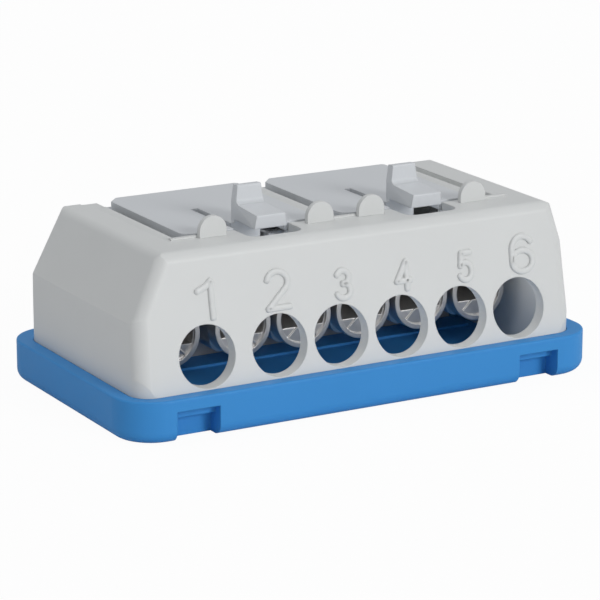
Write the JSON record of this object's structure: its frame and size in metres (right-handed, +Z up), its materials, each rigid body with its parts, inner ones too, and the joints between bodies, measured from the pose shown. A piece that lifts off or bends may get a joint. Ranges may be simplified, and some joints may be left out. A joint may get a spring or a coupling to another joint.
{
  "type": "power distribution block",
  "caption": "Cable distribution block with round front entries, screw clamps on a common bar, hinged top lids with finger latches and a shallow base tray.",
  "frame": {"origin": "centre of the tray's flat underside", "axes": "+X along the length from entry 1 to entry 6, +Y from the entries to the lid hinges, +Z up"},
  "size_m": [0.1236, 0.0684, 0.0495],
  "materials": {
    "tray_blue": "satin",
    "cover_grey": "satin",
    "lid_grey": "satin",
    "carrier_grey": "satin",
    "bar_metal": "tinned",
    "clamp_metal": "tinned",
    "screw_steel": "zinc plated"
  },
  "bodies": {
    "housing": {"base_tray": "tray_blue", "cover_housing": "cover_grey", "terminal_carrier": "carrier_grey", "common_bar": "bar_metal", "clamp_body_1": "clamp_metal", "clamp_body_2": "clamp_metal", "clamp_body_3": "clamp_metal", "clamp_body_4": "clamp_metal", "clamp_body_5": "clamp_metal", "clamp_body_6": "clamp_metal", "bar_bolts": "screw_steel", "carrier_screws": "screw_steel"},
    "left_lid": {"lid_left": "lid_grey"},
    "right_lid": {"lid_right": "lid_grey"},
    "pad_1": {"pressure_pad_1": "clamp_metal"},
    "screw_1": {"clamp_screw_1": "screw_steel"},
    "pad_2": {"pressure_pad_2": "clamp_metal"},
    "screw_2": {"clamp_screw_2": "screw_steel"},
    "pad_3": {"pressure_pad_3": "clamp_metal"},
    "screw_3": {"clamp_screw_3": "screw_steel"},
    "pad_4": {"pressure_pad_4": "clamp_metal"},
    "screw_4": {"clamp_screw_4": "screw_steel"},
    "pad_5": {"pressure_pad_5": "clamp_metal"},
    "screw_5": {"clamp_screw_5": "screw_steel"},
    "pad_6": {"pressure_pad_6": "clamp_metal"},
    "screw_6": {"clamp_screw_6": "screw_steel"}
  },
  "joints": [
    {"name": "left_lid_hinge", "type": "hinge", "parent": "housing", "child": "left_lid", "pos_m": [-0.0198, 0.0252, 0.0378], "axis": [-1, 0, 0], "range_deg": [0, 105]},
    {"name": "right_lid_hinge", "type": "hinge", "parent": "housing", "child": "right_lid", "pos_m": [0.0216, 0.0252, 0.0378], "axis": [-1, 0, 0], "range_deg": [0, 105]},
    {"name": "pad_1_travel", "type": "slide", "parent": "housing", "child": "pad_1", "axis": [0, 0, -1], "range_m": [0, 0.0044]},
    {"name": "screw_1_turn", "type": "hinge", "parent": "pad_1", "child": "screw_1", "pos_m": [-0.0405, 0.002, 0.03], "axis": [0, 0, -1], "range_deg": [0, 1584]},
    {"name": "pad_2_travel", "type": "slide", "parent": "housing", "child": "pad_2", "axis": [0, 0, -1], "range_m": [0, 0.0044]},
    {"name": "screw_2_turn", "type": "hinge", "parent": "pad_2", "child": "screw_2", "pos_m": [-0.0221, 0.002, 0.03], "axis": [0, 0, -1], "range_deg": [0, 1584]},
    {"name": "pad_3_travel", "type": "slide", "parent": "housing", "child": "pad_3", "axis": [0, 0, -1], "range_m": [0, 0.0044]},
    {"name": "screw_3_turn", "type": "hinge", "parent": "pad_3", "child": "screw_3", "pos_m": [-0.0061, 0.002, 0.03], "axis": [0, 0, -1], "range_deg": [0, 1584]},
    {"name": "pad_4_travel", "type": "slide", "parent": "housing", "child": "pad_4", "axis": [0, 0, -1], "range_m": [0, 0.0044]},
    {"name": "screw_4_turn", "type": "hinge", "parent": "pad_4", "child": "screw_4", "pos_m": [0.0099, 0.002, 0.03], "axis": [0, 0, -1], "range_deg": [0, 1584]},
    {"name": "pad_5_travel", "type": "slide", "parent": "housing", "child": "pad_5", "axis": [0, 0, -1], "range_m": [0, 0.0044]},
    {"name": "screw_5_turn", "type": "hinge", "parent": "pad_5", "child": "screw_5", "pos_m": [0.0259, 0.002, 0.03], "axis": [0, 0, -1], "range_deg": [0, 1584]},
    {"name": "pad_6_travel", "type": "slide", "parent": "housing", "child": "pad_6", "axis": [0, 0, -1], "range_m": [0, 0.0044]},
    {"name": "screw_6_turn", "type": "hinge", "parent": "pad_6", "child": "screw_6", "pos_m": [0.0419, 0.002, 0.03], "axis": [0, 0, -1], "range_deg": [0, 1584]}
  ],
  "couplings": [
    {"joint": "screw_1_turn", "follows": "pad_1_travel", "rad_per_m": 6283},
    {"joint": "screw_2_turn", "follows": "pad_2_travel", "rad_per_m": 6283},
    {"joint": "screw_3_turn", "follows": "pad_3_travel", "rad_per_m": 6283},
    {"joint": "screw_4_turn", "follows": "pad_4_travel", "rad_per_m": 6283},
    {"joint": "screw_5_turn", "follows": "pad_5_travel", "rad_per_m": 6283},
    {"joint": "screw_6_turn", "follows": "pad_6_travel", "rad_per_m": 6283}
  ]
}
